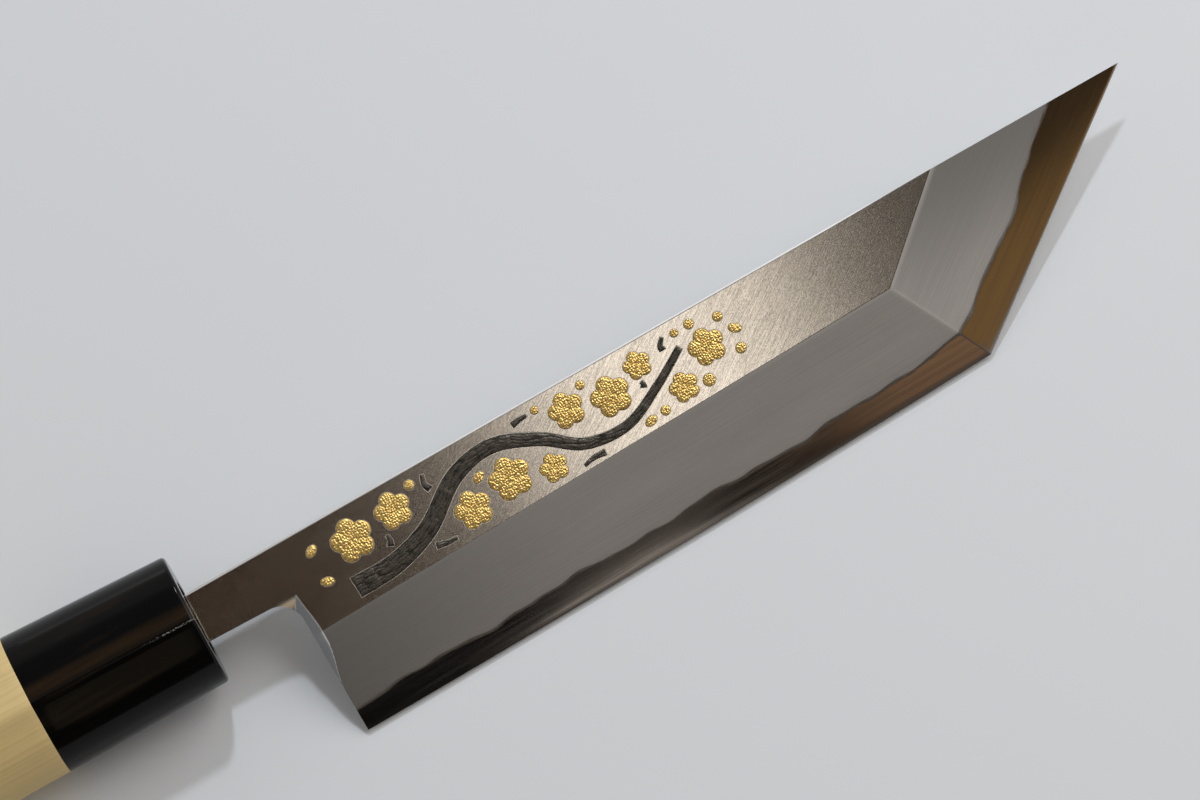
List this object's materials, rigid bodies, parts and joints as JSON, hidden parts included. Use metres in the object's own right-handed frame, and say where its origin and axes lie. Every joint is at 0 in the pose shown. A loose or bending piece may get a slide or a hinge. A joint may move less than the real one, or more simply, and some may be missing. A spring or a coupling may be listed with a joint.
{
  "type": "eel knife",
  "caption": "Single-bevel eel knife with an angled point, hollow back, horn ferrule, wooden chestnut-section handle and a gold and dark plum branch inlaid in the flat of the blade.",
  "frame": {"origin": "under the middle of the knife's box, on the plane of its lowest point, with the knife lying on its hollow back", "axes": "+X along the handle towards the point, +Y towards the spine, +Z out of the bevelled face"},
  "size_m": [0.3712, 0.0554, 0.0298],
  "materials": {
    "soft_iron": "satin, brushed",
    "hard_steel": "polished",
    "dark_metal": "chiselled, dark",
    "gold_metal": "punched, satin",
    "horn": "polished",
    "grip_wood": "sanded, bare"
  },
  "bodies": {
    "root": {"blade_iron": "soft_iron", "edge_steel": "hard_steel", "ferrule": "horn", "handle_grip": "grip_wood", "bough": "dark_metal", "twig_1": "dark_metal", "twig_2": "dark_metal", "twig_3": "dark_metal", "twig_4": "dark_metal", "twig_5": "dark_metal", "twig_6": "dark_metal", "twig_7": "dark_metal", "blossom_1": "gold_metal", "blossom_2": "gold_metal", "blossom_3": "gold_metal", "blossom_4": "gold_metal", "blossom_5": "gold_metal", "blossom_6": "gold_metal", "blossom_7": "gold_metal", "blossom_8": "gold_metal", "blossom_9": "gold_metal", "blossom_10": "gold_metal", "bud_1": "gold_metal", "bud_2": "gold_metal", "bud_3": "gold_metal", "bud_4": "gold_metal", "bud_5": "gold_metal", "bud_6": "gold_metal", "bud_7": "gold_metal", "bud_8": "gold_metal", "bud_9": "gold_metal", "fallen_petal_1": "gold_metal", "fallen_petal_2": "gold_metal", "fallen_petal_3": "gold_metal", "fallen_petal_4": "gold_metal", "fallen_petal_5": "gold_metal"}
  },
  "joints": []
}
